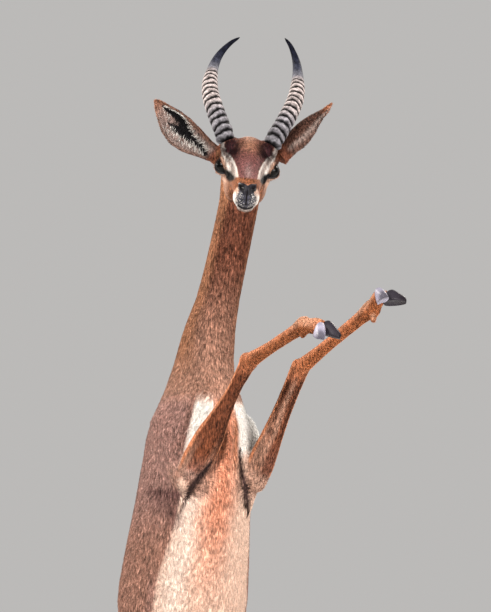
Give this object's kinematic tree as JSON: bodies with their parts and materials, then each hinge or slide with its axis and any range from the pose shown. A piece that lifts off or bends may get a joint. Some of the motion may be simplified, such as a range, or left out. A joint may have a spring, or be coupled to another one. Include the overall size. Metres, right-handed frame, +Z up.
{
  "type": "gerenuk",
  "caption": "Life-size still model of a gerenuk rearing on its hind legs, long neck up, forelegs raised, on a flat wooden base.",
  "frame": {"origin": "middle of the base's underside, on the floor", "axes": "+Z up, the face looks along -Y, the animal's left side is at +X"},
  "size_m": [0.7093, 0.8043, 2.0246],
  "materials": {
    "coat": "short reddish brown hair, paler belly",
    "ear": "short hair, dark hollow with pale fringes",
    "tail_hair": "brown stem with a black tuft",
    "horn": "ringed dark horn with a smooth tip",
    "eye": "wet, near black",
    "hoof": "dark grey horn, half gloss",
    "wood": "satin varnish"
  },
  "bodies": {
    "root": {"head": "coat", "neck": "coat", "torso": "coat", "foreleg_right_upper": "coat", "foreleg_right_lower": "coat", "foreleg_left_upper": "coat", "foreleg_left_lower": "coat", "hind_leg_right_upper": "coat", "hind_leg_right_lower": "coat", "hind_leg_left_upper": "coat", "hind_leg_left_lower": "coat", "ear_right": "ear", "ear_left": "ear", "tail": "tail_hair", "horn_right": "horn", "horn_left": "horn", "eye_right": "eye", "eye_left": "eye", "hoof_fore_right_outer": "hoof", "hoof_fore_right_inner": "hoof", "hoof_fore_left_outer": "hoof", "hoof_fore_left_inner": "hoof", "hoof_hind_right_outer": "hoof", "hoof_hind_right_inner": "hoof", "hoof_hind_left_outer": "hoof", "hoof_hind_left_inner": "hoof", "stand_base": "wood"}
  },
  "joints": []
}
